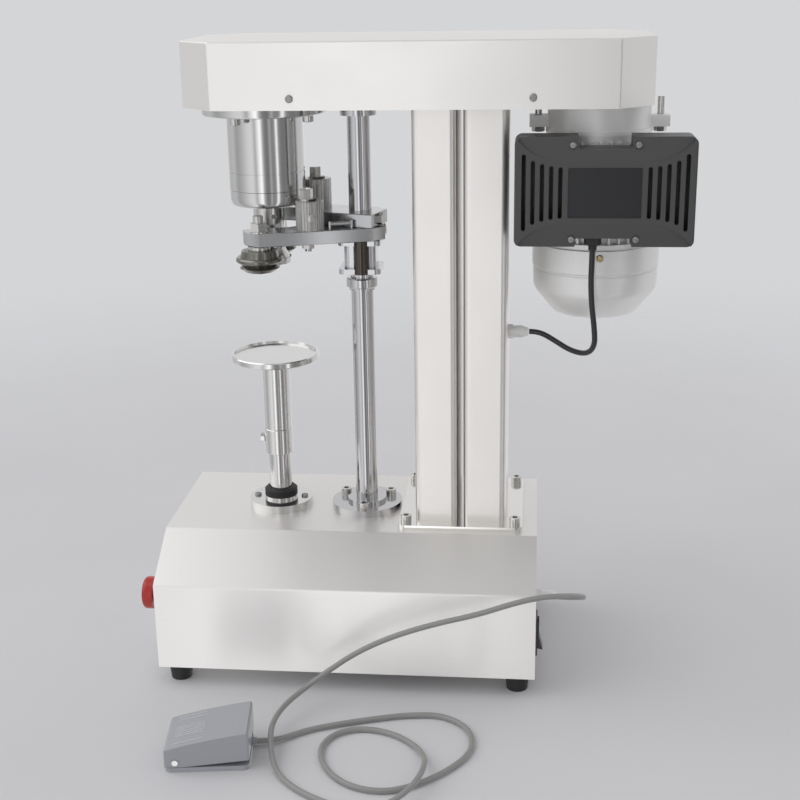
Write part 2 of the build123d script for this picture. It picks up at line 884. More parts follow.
def spindle_bearings():
    """Upper and lower bearing of the spindle."""
    bore = spindle_radius + running_gap
    outer = bearing_radius - seat_gap
    lower = ball_bearing(housing_bottom, bore, outer, bearing_width)
    upper = ball_bearing(head_bottom - bearing_width, bore, outer, bearing_width)
    return Pos(spindle_x, machine_y, 0) * Compound([lower, upper])


def spindle_shaft():
    """Stepped spindle from the chuck nose up to the pulley seat."""
    return turned([(0, spindle_nose_bottom), (spindle_nose_radius, spindle_nose_bottom),
                   (spindle_nose_radius, adapter_top), (spindle_radius, adapter_top),
                   (spindle_radius, head_plate_top), (pulley_seat_radius, head_plate_top),
                   (pulley_seat_radius, spindle_top), (0, spindle_top)], spindle_x, machine_y)


def chuck_adapter():
    """Round adapter clamped on the spindle nose by a set screw, with the chuck below it."""
    adapter = turned([(0, adapter_bottom), (adapter_radius, adapter_bottom), (adapter_radius, adapter_top),
                      (spindle_nose_radius, adapter_top), (spindle_nose_radius, spindle_nose_bottom),
                      (0, spindle_nose_bottom)])
    screw_hole = Pos(adapter_radius / 2, -adapter_radius, set_screw_height) * Rot(90, 0, 0) * Cylinder(
        set_screw_radius, adapter_radius / 2)
    thread = upright(chuck_screw_radius, adapter_bottom - overrun, spindle_nose_bottom)
    return Pos(spindle_x, machine_y, 0) * (adapter - screw_hole - thread)


def seaming_chuck():
    """Chuck that enters the lid, relieved below, with the screw that holds it."""
    flange_low = chuck_bottom + chuck_lip_height
    seat = chuck_bottom + chuck_relief_depth + chuck_screw_head_height
    chuck = turned([(chuck_screw_radius + seat_gap, seat), (chuck_screw_head_radius + free_gap, seat),
                    (chuck_screw_head_radius + free_gap, chuck_bottom + chuck_relief_depth),
                    (chuck_relief_radius, chuck_bottom + chuck_relief_depth),
                    (chuck_relief_radius, chuck_bottom), (chuck_radius - chuck_lip_draft, chuck_bottom),
                    (chuck_radius, flange_low), (chuck_flange_radius, flange_low),
                    (adapter_radius, adapter_bottom), (chuck_screw_radius + seat_gap, adapter_bottom)])
    return Compound([Pos(spindle_x, machine_y, 0) * chuck, chuck_screw()])


def chuck_screw():
    """Socket head screw up the middle of the chuck."""
    low = chuck_bottom + chuck_relief_depth
    seat = low + chuck_screw_head_height
    screw = turned([(0, low), (chuck_screw_head_radius, low), (chuck_screw_head_radius, seat),
                    (chuck_screw_radius, seat), (chuck_screw_radius, spindle_nose_bottom),
                    (0, spindle_nose_bottom)])
    screw -= hexagon(chuck_screw_socket, low - overrun, low + chuck_screw_head_height / 2)
    return Pos(spindle_x, machine_y, 0) * screw


def v_pulley(pitch_radius, bore, hub_up):
    """Single groove V pulley on the belt's middle plane, with a hub below or above its web."""
    outer = pitch_radius + belt_thickness / 2 + pulley_lip
    flank = (belt_width - belt_inner_width) / 2 / belt_thickness
    groove_floor = pitch_radius - belt_thickness / 2 - pulley_groove_bottom_gap
    side_gap = free_gap * hypot(1, flank)
    half_mouth = belt_width / 2 + side_gap + pulley_lip * flank
    half_floor = belt_inner_width / 2 + side_gap - pulley_groove_bottom_gap * flank
    half_rim = pulley_rim_height / 2
    z = belt_height
    rim_inner = max(groove_floor - pulley_rim_thickness, pulley_hub_radius)
    hub_radius = min(pulley_hub_radius, rim_inner)
    web = pulley_web_thickness / 2
    hub_low = z - (half_rim if hub_up else pulley_hub_height - half_rim)
    hub_high = hub_low + pulley_hub_height
    outline = [(bore, hub_low), (hub_radius, hub_low)]
    if rim_inner > hub_radius:
        outline += [(hub_radius, z - web), (rim_inner, z - web), (rim_inner, z - half_rim)]
    else:
        outline += [(hub_radius, z - half_rim)]
    outline += [(outer, z - half_rim), (outer, z - half_mouth), (groove_floor, z - half_floor),
                (groove_floor, z + half_floor), (outer, z + half_mouth), (outer, z + half_rim)]
    if rim_inner > hub_radius:
        outline += [(rim_inner, z + half_rim), (rim_inner, z + web), (hub_radius, z + web)]
    else:
        outline += [(hub_radius, z + half_rim)]
    outline += [(hub_radius, hub_high), (bore, hub_high)]
    tidy = [p for i, p in enumerate(outline) if i == 0 or p != outline[i - 1]]
    return turned(tidy)


def spindle_pulley():
    """Large pulley on the spindle."""
    return Pos(spindle_x, machine_y, 0) * v_pulley(spindle_pitch_radius, pulley_seat_radius, True)


def motor_pulley():
    """Small pulley on the motor shaft."""
    return Pos(motor_x, machine_y, 0) * v_pulley(motor_pitch_radius, motor_shaft_radius, True)


def drive_belt():
    """V belt around both pulleys: its section swept along the pitch line."""
    span = motor_x - spindle_x
    lean = asin((spindle_pitch_radius - motor_pitch_radius) / span)
    big, small = spindle_pitch_radius, motor_pitch_radius
    a = (big * sin(lean), big * cos(lean))
    b = (span + small * sin(lean), small * cos(lean))
    small_arc = ThreePointArc(b, (span + small, 0), (b[0], -b[1]))
    back_run = Line((b[0], -b[1]), (a[0], -a[1]))
    big_arc = ThreePointArc((a[0], -a[1]), (-big, 0), a)
    half = belt_thickness / 2
    middle = Line(a, b) @ (1 / 2)
    across = Vector(sin(lean), cos(lean), 0)
    frame = Plane(origin=(middle.X, middle.Y, 0), x_dir=across, z_dir=Vector(cos(lean), -sin(lean), 0))
    section = frame * make_face(Polyline((-half, -belt_inner_width / 2), (half, -belt_width / 2),
                                         (half, belt_width / 2), (-half, belt_inner_width / 2), close=True))
    path = Wire([Line((middle.X, middle.Y), b), small_arc, back_run, big_arc,
                 Line(a, (middle.X, middle.Y))])
    belt = sweep(section, path=path)
    return Pos(spindle_x, machine_y, belt_height) * belt


def motor_mount():
    """Motor neck under the head plate with a ring and two bolted lugs."""
    ring_low = motor_neck_bottom - motor_ring_height
    neck = turned([(motor_core_radius - motor_wall, ring_low), (motor_ring_radius, ring_low),
                   (motor_ring_radius, motor_neck_bottom), (motor_neck_radius, motor_neck_bottom),
                   (motor_neck_radius, head_bottom), (motor_core_radius - motor_wall, head_bottom)])
    lug = block(-lug_reach, lug_reach, -lug_width / 2, lug_width / 2, motor_neck_bottom,
                motor_neck_bottom + lug_height)
    lug -= upright(motor_core_radius - motor_wall / 2, ring_low, head_bottom)
    neck += lug
    for side in (-1, 1):
        neck -= upright(hex_bolt_diameter / 2 + seat_gap, motor_neck_bottom - overrun, head_bottom,
                        side * lug_bolt_reach)
    return Pos(motor_x, machine_y, 0) * neck


def motor_body():
    """Finned motor frame with an end ring below and the stator pressed in."""
    ring_low = motor_neck_bottom - motor_ring_height
    bore = motor_core_radius - motor_wall
    body = turned([(bore, motor_body_bottom), (end_ring_radius, motor_body_bottom),
                   (end_ring_radius, motor_body_bottom + end_ring_height),
                   (motor_core_radius, motor_body_bottom + end_ring_height),
                   (motor_core_radius, ring_low), (bore, ring_low)])
    fins = []
    for _, _, angle in polar(motor_fin_count, motor_fin_radius):
        fin = block(motor_core_radius - motor_wall / 2, motor_fin_radius, -motor_fin_width / 2,
                    motor_fin_width / 2, motor_body_bottom + end_ring_height / 2, ring_low - end_ring_height)
        fins.append(Rot(0, 0, angle) * fin)
    low = rotor_middle - stator_height / 2
    high = rotor_middle + stator_height / 2
    stator = turned([(stator_bore, low), (bore, low), (bore, high), (stator_bore, high)])
    return Pos(motor_x, machine_y, 0) * (body + fins + stator)


def motor_end_cowl():
    """Drawn cowl below the motor: a wide band, a step and a tapered end with vents."""
    outer = [(cowl_radius, cowl_top), (cowl_radius, cowl_step_height), (cowl_step_radius, cowl_step_height),
             (cowl_step_radius, cowl_taper_height), (cowl_bottom_radius, cowl_bottom)]
    wall = cowl_wall
    inner = [(cowl_bottom_radius - wall, cowl_bottom + wall), (cowl_step_radius - wall, cowl_taper_height),
             (cowl_step_radius - wall, cowl_top)]
    cowl = turned([(0, cowl_bottom + wall)] + inner + outer + [(0, cowl_bottom)])
    for _, _, angle in polar(cowl_vent_count, cowl_vent_radius):
        slot = extrude(SlotOverall(cowl_vent_length, cowl_vent_width), amount=wall + overrun)
        cowl -= Rot(0, 0, angle) * Pos(cowl_vent_radius, 0, cowl_bottom - overrun / 2) * slot
    cover_ring = turned([(stator_bore, cowl_top), (cowl_radius, cowl_top), (cowl_radius, motor_body_bottom),
                         (stator_bore, motor_body_bottom)])
    return Pos(motor_x, machine_y, 0) * (cowl + cover_ring)


def motor_rotor():
    """Motor shaft with its rotor core."""
    low = rotor_middle - rotor_height / 2
    high = rotor_middle + rotor_height / 2
    return turned([(0, motor_shaft_bottom), (motor_shaft_radius, motor_shaft_bottom),
                   (motor_shaft_radius, low), (rotor_radius, low), (rotor_radius, high),
                   (motor_shaft_radius, high), (motor_shaft_radius, motor_shaft_top), (0, motor_shaft_top)],
                  motor_x, machine_y)


def motor_fan():
    """Cooling fan at the lower end of the motor shaft."""
    low = fan_middle - fan_height / 2
    high = fan_middle + fan_height / 2
    fan = turned([(motor_shaft_radius, low), (fan_hub_radius, low), (fan_hub_radius, high - cowl_wall),
                  (fan_radius, high - cowl_wall), (fan_radius, high), (motor_shaft_radius, high)])
    for _, _, angle in polar(fan_blade_count, fan_radius):
        fan += Rot(0, 0, angle) * block(fan_hub_radius - cowl_wall, fan_radius, -fan_blade_width / 2,
                                        fan_blade_width / 2, low, high - cowl_wall / 2)
    return Pos(motor_x, machine_y, 0) * fan


def box_outline(inset=0.0):
    """Front outline of the control box with its two notches, centred on the box."""
    height = box_top - box_bottom
    outline = RectangleRounded(box_width - 2 * inset, height - 2 * inset, box_corner - inset)
    outline -= Pos(0, height / 2) * RectangleRounded(notch_width + 2 * inset,
                                                     2 * (notch_depth + inset), box_edge)
    outline -= Pos(0, -height / 2) * RectangleRounded(lower_notch_width + 2 * inset,
                                                      2 * (lower_notch_depth + inset), box_edge)
    return outline


def on_box(y, shape):
    """Put a shape drawn in the box's front plane, growing towards the viewer, at a depth."""
    middle = (box_bottom + box_top) / 2
    return Plane(origin=(box_x, y, middle), x_dir=(1, 0, 0), z_dir=(0, -1, 0)) * shape


def box_screw_places():
    """Screws beside the notches, as places in the box's front plane."""
    y = (box_top - box_bottom) / 2 - box_screw_inset
    return [(i * box_screw_span / 2, j * y) for i in (-1, 1) for j in (-1, 1)]


def waist_region():
    """Lens between the box's top edge and the curved line above its waist."""
    half_width = box_width / 2
    half_height = (box_top - box_bottom) / 2
    low = half_height - waist_rise
    corner = (half_width - box_corner / 2, half_height - box_corner / 2)
    flat = waist_flat / 2
    curve = Spline((flat, low), corner, tangents=((1, 0), (cos(radians(50)), sin(radians(50)))))
    top = half_height + overrun
    lines = [Line((-flat, low), (flat, low)), curve, Line(corner, (corner[0], top)),
             Line((corner[0], top), (-corner[0], top)), Line((-corner[0], top), (-corner[0], corner[1]))]
    lines.append(Spline((-corner[0], corner[1]), (-flat, low),
                        tangents=((cos(radians(50)), -sin(radians(50))), (1, 0))))
    return make_face(lines)


def control_box_front():
    """Moulded front shell with slots, a recessed panel and sloping brow and chin."""
    depth = box_split - box_front
    shell = on_box(box_split, extrude(box_outline(), amount=depth))
    front_edges = shell.edges().group_by(Axis.Y)[0]
    shell = fillet(front_edges, box_edge)
    hollow = on_box(box_split + overrun, extrude(box_outline(box_wall), amount=depth - box_wall + overrun
                                                 - waist_slope_depth))
    lean = degrees(asin(waist_slope_depth / waist_rise))
    half_height = (box_top - box_bottom) / 2
    for side in (1, -1):
        lens = extrude(waist_region(), amount=2 * waist_slope_depth + overrun)
        tilt = Pos(0, half_height - waist_rise, 0) * Rot(-lean, 0, 0) * Pos(0, waist_rise - half_height, 0)
        cutter = on_box(box_front, (Rot(0, 0, 0) if side > 0 else Rot(0, 0, 180)) * (tilt * lens))
        shell -= cutter
    shell -= hollow
    for x, y in box_screw_places():
        boss = on_box(box_split, Pos(x, y) * extrude(Circle(box_screw_recess_radius),
                                                     amount=depth - waist_slope_depth - box_wall / 2))
        keep = on_box(box_split, extrude(box_outline(), amount=depth))
        shell += boss & keep
        seat = box_front + waist_slope_depth * (1 - box_screw_inset / waist_rise)
        shell -= on_box(seat, Pos(x, y) * extrude(Circle(box_screw_recess_radius), amount=overrun))
        shell -= on_box(box_split + overrun, Pos(x, y) * extrude(Circle(box_screw_radius / 2 + seat_gap),
                                                                 amount=depth + 2 * overrun))
    panel = extrude(RectangleRounded(recess_width, recess_height, recess_corner), amount=overrun)
    shell -= on_box(box_front + recess_depth, panel)
    for i, share in enumerate(slot_half_height_shares):
        half = share * (box_top - box_bottom)
        for side in (-1, 1):
            slot = extrude(SlotOverall(2 * half, slot_width), amount=depth + overrun)
            shell -= on_box(box_split, Pos(side * (slot_first_offset + i * slot_pitch), 0) * Rot(0, 0, 90)
                            * slot)
    return shell


def control_box_back():
    """Back shell of the control box, against the motor's fins."""
    shell = on_box(box_back, extrude(box_outline(), amount=box_back - box_split))
    shell -= on_box(box_back - box_wall, extrude(box_outline(box_wall), amount=box_back - box_split))
    shell -= upright(motor_fin_radius + seat_gap, box_bottom - overrun, box_top + overrun, motor_x, machine_y)
    shell -= upright(end_ring_radius + seat_gap, motor_body_bottom - overrun,
                     motor_body_bottom + end_ring_height + seat_gap, motor_x, machine_y)
    return shell


def box_screws():
    """Four screws in the front of the control box."""
    screw = pan_screw(box_screw_radius, box_screw_radius / 2, box_screw_length)
    depth = box_front + waist_slope_depth * (1 - box_screw_inset / waist_rise)
    return [on_box(depth, Pos(x, y) * screw) for x, y in box_screw_places()]


def cable_boot():
    """Moulded boot where the lead leaves the control box."""
    top = box_bottom + lower_notch_depth - seat_gap
    low = top - boot_height - boot_tail
    body = Pos(boot_x, boot_y, top - boot_height) * extrude(
        RectangleRounded(boot_width, boot_depth, boot_tail_radius), amount=boot_height)
    body = fillet(body.edges().group_by(Axis.Z)[0], boot_tail_radius / 2)
    return body + upright(boot_tail_radius, low, top - boot_height / 2, boot_x, boot_y)


def cord_tube(points, radius, name):
    """Round cord along straight runs joined by tangent arcs as large as the runs allow."""
    corners = []
    for before, here, after in zip(points, points[1:], points[2:]):
        first = Vector(*here) - Vector(*before)
        second = Vector(*after) - Vector(*here)
        half_turn = radians(first.get_angle(second)) / 2
        corners.append(cable_first_turn_share * min(first.length, second.length) / tan(half_turn))
    path = FilletPolyline(*points, radius=corners)
    length = path.length
    start = Plane(origin=points[0], z_dir=Vector(*points[1]) - Vector(*points[0]))
    tube = sweep(start * Circle(radius), path=path)
    print(name, "radii", [round(r, 1) for r in corners])
    print(name, "length", round(length, 1), "volume", round(tube.volume, 1), "section times length",
          round(Circle(radius).area * length, 1))
    return tube


def motor_lead():
    """Black lead that hangs from the control box to the column."""
    return cord_tube(lead_points, lead_radius, "lead")


def cable_gland(length, mouth):
    """Nylon gland lying along X from x = 0: thread inwards, nut and domed cap outwards."""
    nut = Rot(0, 90, 0) * hexagon(2 * gland_nut_radius * cos(radians(30)), 0, gland_nut_height)
    dome = turned([(0, gland_nut_height), (gland_dome_radius, gland_nut_height),
                   (gland_dome_radius, length * 2 / 3), (gland_mouth_radius + seat_gap, length),
                   (0, length)])
    thread = upright(gland_thread_radius, -gland_thread_length, 0)
    gland = nut + Rot(0, 90, 0) * (dome + thread)
    return gland - Rot(0, 90, 0) * upright(mouth, gland_nut_height, length + overrun)


def cable_glands():
    """Glands where the lead enters the column and where the pedal cable leaves the base."""
    face = column_x + tube_x_offset + tube_width / 2
    column = Pos(face, column_gland_y, column_gland_z) * cable_gland(gland_length, lead_radius)
    base = Pos(base_length / 2, base_gland_y, base_gland_z) * cable_gland(gland_length, cable_radius)
    return Compound([column, base])


def lever_shaft():
    """Round shaft from the cam follower arm in the base up to the head plate."""
    shaft = upright(rod_radius, rod_bottom, rod_top, rod_x, machine_y)
    return chamfer(shaft.edges().group_by(Axis.Z)[0] + shaft.edges().group_by(Axis.Z)[-1], rod_collar_chamfer)


def shaft_foot_flange():
    """Flanged bearing of the lever shaft on the base."""
    bore = rod_radius + running_gap
    top = base_top + rod_foot_height
    flange = turned([(bore, rod_foot_sleeve_bottom), (rod_foot_sleeve_radius, rod_foot_sleeve_bottom),
                     (rod_foot_sleeve_radius, base_top), (rod_foot_radius, base_top),
                     (rod_foot_radius, top), (rod_foot_hub_radius, top),
                     (rod_foot_hub_radius, base_top + rod_foot_hub_height),
                     (bore, base_top + rod_foot_hub_height)])
    for x, y, _ in polar(rod_foot_bolt_count, rod_foot_bolt_circle / 2, rod_foot_bolt_angle):
        flange -= upright(bolt_diameter / 2 + seat_gap, base_top - overrun, top + overrun, x, y)
    return Pos(rod_x, machine_y, 0) * flange


def shaft_top_collar():
    """Bush that holds the lever shaft under the head plate."""
    bore = rod_radius + running_gap
    low = head_bottom - rod_top_collar_height
    return turned([(bore, low), (rod_top_collar_radius, low), (rod_top_collar_radius, head_bottom),
                   (bore, head_bottom)], rod_x, machine_y)


def shaft_collar():
    """Clamp collar on the lever shaft under the lever spool, with a washer below."""
    top = rod_collar_bottom + rod_collar_height
    low = rod_collar_bottom - rod_washer_height
    rim = rod_collar_chamfer
    collar = turned([(rod_radius, low), (rod_washer_radius, low), (rod_washer_radius, rod_collar_bottom),
                     (rod_collar_radius - rim, rod_collar_bottom),
                     (rod_collar_radius, rod_collar_bottom + rim), (rod_collar_radius, top - rim),
                     (rod_collar_radius - rim, top), (rod_radius, top)])
    return Pos(rod_x, machine_y, 0) * collar


def follower_arm():
    """Arm on the lower end of the lever shaft, with the pin that the drive cam pushes."""
    arm = Pos(-arm_length / 2, 0, arm_bottom) * extrude(
        SlotCenterToCenter(arm_length, arm_width), amount=arm_thickness)
    arm += upright(arm_pin_radius, arm_bottom - arm_pin_height, arm_bottom, -arm_length)
    arm -= upright(rod_radius, arm_bottom - arm_pin_height, arm_bottom + arm_thickness + overrun)
    return Pos(rod_x, machine_y, 0) * Rot(0, 0, 90) * arm


def on_lever(shape, rear=False):
    """Place a piece drawn along a lever, x towards the roller and y towards the viewer's side."""
    placed = Rot(0, 0, 180 + lever_angle) * shape
    if rear:
        placed = mirror(placed, about=Plane.XZ)
    return Pos(rod_x, machine_y, 0) * placed


def lever_bar(bottom):
    """Flat lever with cornered ends, bored for the shaft, the adjuster bolt and the roller stud."""
    points = [(-lever_tail, -lever_back), (lever_taper_start, -lever_back),
              (lever_taper_end, -lever_tip_back), (lever_end, -lever_tip_back),
              (lever_end, lever_front - lever_end_chamfer),
              (lever_end - lever_end_chamfer_run, lever_front),
              (lever_tail_chamfer_run - lever_tail, lever_front),
              (-lever_tail, lever_front - lever_tail_chamfer)]
    bar = Pos(0, 0, bottom) * extrude(make_face(Polyline(*points, close=True)), amount=lever_thickness)
    bar = chamfer(bar.edges().group_by(Axis.Z)[0] + bar.edges().group_by(Axis.Z)[-1], lever_edge)
    high = bottom + lever_thickness + overrun
    bar -= upright(rod_radius, bottom - overrun, high)
    bar -= upright(drum_bolt_radius + seat_gap, bottom - overrun, high, drum_along + drum_bolt_offset,
                   drum_across)
    bar -= upright(roller_pin_radius, bottom - overrun, high, stud_along, stud_across)
    screw = Pos(-lever_tail, 0, bottom + lever_thickness / 2) * Rot(0, 90, 0) * Cylinder(
        lever_screw_radius, 2 * lever_screw_depth)
    return bar - screw


def front_lever():
    """Lower lever, which carries the first roller in front of the chuck."""
    return on_lever(lever_bar(front_lever_bottom))


def rear_lever():
    """Upper lever, which carries the second roller behind the chuck."""
    return on_lever(lever_bar(rear_lever_bottom), rear=True)


def adjuster_drum(bottom):
    """Fluted eccentric drum on a lever that sets the roller's distance, with a set screw in its side."""
    drum = upright(drum_radius, bottom, bottom + drum_height)
    drum = chamfer(drum.edges().group_by(Axis.Z)[-1], drum_flute_depth)
    for x, y, angle in polar(drum_flute_count, drum_radius):
        flute = Pos(x, y, 0) * upright(drum_flute_depth, bottom - overrun, bottom + drum_height + overrun)
        drum -= flute
    face = Pos(0, drum_radius, bottom + drum_screw_height) * Rot(90, 0, 0)
    drum -= face * Cylinder(drum_screw_radius, 2 * drum_screw_depth)
    drum -= face * extrude(RegularPolygon(drum_screw_socket / 2, 6, major_radius=False),
                                          amount=drum_screw_depth * 3, both=True)
    drum -= upright(drum_bolt_radius + seat_gap, bottom - overrun, bottom + drum_height + overrun,
                    drum_bolt_offset)
    return Pos(drum_along, drum_across, 0) * drum


def adjuster_drums():
    """Both fluted drums."""
    front = on_lever(adjuster_drum(front_lever_bottom + lever_thickness))
    rear = on_lever(adjuster_drum(rear_lever_top), rear=True)
    return Compound([front, rear])


def drum_bolt(lever_bottom):
    """Hexagon bolt, washer and nut that clamp a drum on its lever."""
    top = lever_bottom + lever_thickness + drum_height
    x, y = drum_along + drum_bolt_offset, drum_across
    bolt = upright(drum_washer_radius, top, top + drum_washer_height, x, y)
    head_low = top + drum_washer_height
    bolt += hex_head(drum_bolt_flats, head_low, head_low + drum_bolt_head, x, y)
    bolt += upright(drum_bolt_radius, lever_bottom - drum_nut_height - drum_bolt_end, head_low, x, y)
    bolt += hexagon(drum_bolt_flats, lever_bottom - drum_nut_height, lever_bottom, x, y, 30)
    return bolt


def lever_bolts():
    """Drum bolts and the clamp screws in the tails of the levers."""
    bolts = []
    for bottom, rear in ((front_lever_bottom, False), (rear_lever_bottom, True)):
        bolts.append(on_lever(drum_bolt(bottom), rear))
        screw = hex_head(lever_screw_flats, 0, lever_screw_height)
        screw += upright(lever_screw_radius, -lever_screw_depth, 0)
        tail = Pos(-lever_tail, 0, bottom + lever_thickness / 2) * Rot(0, -90, 0) * screw
        bolts.append(on_lever(tail, rear))
    return Compound(bolts)


def lever_spring():
    """Small return spring and its two posts on the front lever."""
    top = front_lever_bottom + lever_thickness
    pitch = spring_length / spring_coils
    outline = [(0, 0)]
    for i in range(spring_coils):
        outline += [(spring_root_radius, i * pitch), (spring_radius, (i + 1 / 2) * pitch)]
    outline += [(spring_root_radius, spring_length), (0, spring_length)]
    coils = Pos(spring_along, spring_across, top + spring_lift) * Rot(0, 90, 0) * turned(outline)
    posts = [upright(spring_post_radius, top, top + spring_post_height, x, spring_across)
             for x in (spring_along - spring_post_radius / 2,
                       spring_along + spring_length + spring_post_radius / 2)]
    return on_lever(coils + posts)


def lever_spool():
    """Spool-shaped clamp on the shaft under the front lever: two cut-cornered plates and a waist."""
    top = front_lever_bottom
    low = top - spool_height
    plate = RectangleRounded(spool_plate, spool_plate, spool_corner)
    waist = RectangleRounded(spool_waist, spool_waist, spool_corner)
    spool = Pos(0, 0, low) * extrude(waist, amount=spool_height)
    spool += Pos(0, 0, low) * extrude(plate, amount=spool_plate_thickness)
    spool += Pos(0, 0, top - spool_plate_thickness) * extrude(plate, amount=spool_plate_thickness)
    spool -= upright(rod_radius, low - overrun, top + overrun)
    spool -= upright(spool_pin_radius, low - overrun, top + overrun, spool_pin_shift_x, -spool_pin_shift_y)
    spool -= block(-spool_split_width / 2, spool_split_width / 2, 0, spool_plate, low - overrun,
                   top + overrun)
    return Pos(rod_x, machine_y, 0) * spool


def spool_pin():
    """Dark clamp pin standing in the front of the spool."""
    pin = upright(spool_pin_radius, front_lever_bottom - spool_height, front_lever_bottom,
                  spool_pin_shift_x, -spool_pin_shift_y)
    pin -= upright(rod_radius, front_lever_bottom - spool_height - overrun, front_lever_bottom + overrun)
    return Pos(rod_x, machine_y, 0) * pin


def roller_height():
    """Height of a seaming roller over its turned bands."""
    return roller_cone_height + roller_lower_height + roller_flange_height + roller_top_height


def seaming_roller(groove_share):
    """Seaming roller with its forming groove under the wide flange, bored for its pin."""
    z = roller_bottom
    low = z + roller_cone_height
    flange = low + roller_lower_height
    top = flange + roller_flange_height
    high = top + roller_top_height
    rim = (high - top) / 4
    bore = roller_pin_radius + running_gap
    groove = roller_groove_radius
    shelf = z + roller_counterbore_depth
    middle = low + roller_lower_height * groove_share
    return turned([(bore, shelf), (roller_counterbore_radius, shelf), (roller_counterbore_radius, z),
                   (roller_base_radius, z), (roller_lower_radius, low), (groove, middle),
                   (roller_lower_radius + running_gap, flange), (roller_radius - rim, flange),
                   (roller_radius, flange + rim), (roller_radius, top - rim), (roller_radius - rim, top),
                   (roller_top_radius, top), (roller_top_radius - rim, high), (bore, high)])


def roller_place(rear=False):
    """Place of a roller's axis."""
    return on_lever(Pos(stud_along, stud_across, 0) * Sphere(roller_pin_radius), rear).center()


def first_roller():
    """First-operation roller in front of the chuck."""
    place = roller_place()
    return Pos(place.X, place.Y, 0) * seaming_roller(1 / 2)


def second_roller():
    """Second-operation roller behind the chuck, with a shallower groove."""
    place = roller_place(rear=True)
    return Pos(place.X, place.Y, 0) * seaming_roller(1 / 3)


def roller_pin(lever_bottom):
    """Roller stud: headed end below the roller, spacer above it, and washer and nut on the lever."""
    roller_top = roller_bottom + roller_height()
    shelf = roller_bottom + roller_counterbore_depth
    lever_top = lever_bottom + lever_thickness
    nut_low = lever_top + roller_washer_height
    pin = turned([(0, roller_bottom - roller_pin_head_height),
                  (roller_pin_head_radius, roller_bottom - roller_pin_head_height),
                  (roller_pin_head_radius, roller_bottom), (roller_pin_flange_radius, roller_bottom),
                  (roller_pin_flange_radius, shelf - free_gap), (roller_pin_radius, shelf - free_gap),
                  (roller_pin_radius, roller_top + free_gap), (roller_spacer_radius, roller_top + free_gap),
                  (roller_spacer_radius, lever_bottom), (roller_pin_radius, lever_bottom),
                  (roller_pin_radius, lever_top), (roller_washer_radius, lever_top),
                  (roller_washer_radius, nut_low), (roller_pin_radius, nut_low),
                  (roller_pin_radius, nut_low + roller_nut_height + roller_stud_end),
                  (0, nut_low + roller_nut_height + roller_stud_end)])
    pin += hex_head(roller_nut_flats, nut_low, nut_low + roller_nut_height)
    return pin


def roller_pins():
    """Studs of both rollers."""
    pins = []
    for bottom, rear in ((front_lever_bottom, False), (rear_lever_bottom, True)):
        place = roller_place(rear)
        pins.append(Pos(place.X, place.Y, 0) * Rot(0, 0, -lever_angle) * roller_pin(bottom))
    return Compound(pins)


def lift_flange():
    """Flanged guide of the lift shaft on the base."""
    bore = lift_radius + running_gap
    top = base_top + lift_flange_height
    ring_top = top + lift_ring_height
    flange = turned([(bore, lift_guide_bottom), (lift_guide_radius, lift_guide_bottom),
                     (lift_guide_radius, base_top), (lift_flange_radius, base_top),
                     (lift_flange_radius, top), (seal_radius, top), (seal_radius, ring_top),
                     (bore, ring_top)])
    for x, y, _ in polar(lift_screw_count, lift_screw_circle / 2):
        flange -= upright(screw_diameter / 2 + seat_gap, base_top - overrun, top + overrun, x, y)
    return Pos(spindle_x, machine_y, 0) * flange


def lift_screws():
    """Screws in the lift flange."""
    seat = base_top + lift_flange_height
    screw = pan_screw(screw_head_diameter / 2, screw_diameter / 2, lift_flange_height + screw_length / 2)
    return [Pos(x, y, seat) * screw for x, y in lift_screw_places()]


def lift_seal():
    """Rubber wiper seal around the lift shaft."""
    low = base_top + lift_flange_height + lift_ring_height
    high = low + seal_height
    bore = lift_radius + free_gap
    rim = seal_lip_height
    return turned([(bore, low), (seal_radius, low), (seal_radius, high - rim), (seal_lip_radius, high),
                   (bore, high)], spindle_x, machine_y)


def lift_shaft():
    """Lift shaft with a forked lower end and its follower wheel."""
    shaft = upright(lift_radius, lift_bottom, lift_top)
    shaft -= block(-lift_radius, lift_radius, -lift_fork_gap / 2, lift_fork_gap / 2, lift_bottom - overrun,
                   lift_bottom + lift_fork_depth)
    axle = lift_bottom + lift_follower_radius / 2
    shaft += Pos(0, 0, axle) * Rot(90, 0, 0) * Cylinder(lift_follower_radius / 3, 2 * lift_follower_radius)
    shaft += Pos(0, 0, axle) * Rot(90, 0, 0) * Cylinder(lift_follower_radius, lift_follower_width)
    return Pos(spindle_x, machine_y, 0) * shaft


def table_sleeve():
    """Height collar clamped on the lift shaft, with its set screw."""
    top = sleeve_bottom + sleeve_height
    bore = lift_radius + running_gap
    rim = sleeve_chamfer
    sleeve = turned([(bore, sleeve_bottom), (sleeve_radius - rim, sleeve_bottom),
                     (sleeve_radius, sleeve_bottom + rim), (sleeve_radius, top - rim),
                     (sleeve_radius - rim, top), (bore, top)])
    sleeve -= Pos(-sleeve_radius, 0, sleeve_bottom + sleeve_screw_height) * Rot(0, 90, 0) * Cylinder(
        sleeve_screw_radius, sleeve_radius)
    return Compound([Pos(spindle_x, machine_y, 0) * sleeve, sleeve_screw()])


def sleeve_screw():
    """Set screw in the left side of the height collar."""
    wall = sleeve_radius - lift_radius - free_gap
    screw = upright(sleeve_screw_radius, -wall, 0)
    screw += hex_head(2 * sleeve_screw_head_radius, 0, sleeve_screw_head)
    screw = Pos(-sleeve_radius, 0, sleeve_bottom + sleeve_screw_height) * Rot(0, -90, 0) * screw
    return Pos(spindle_x, machine_y, 0) * screw


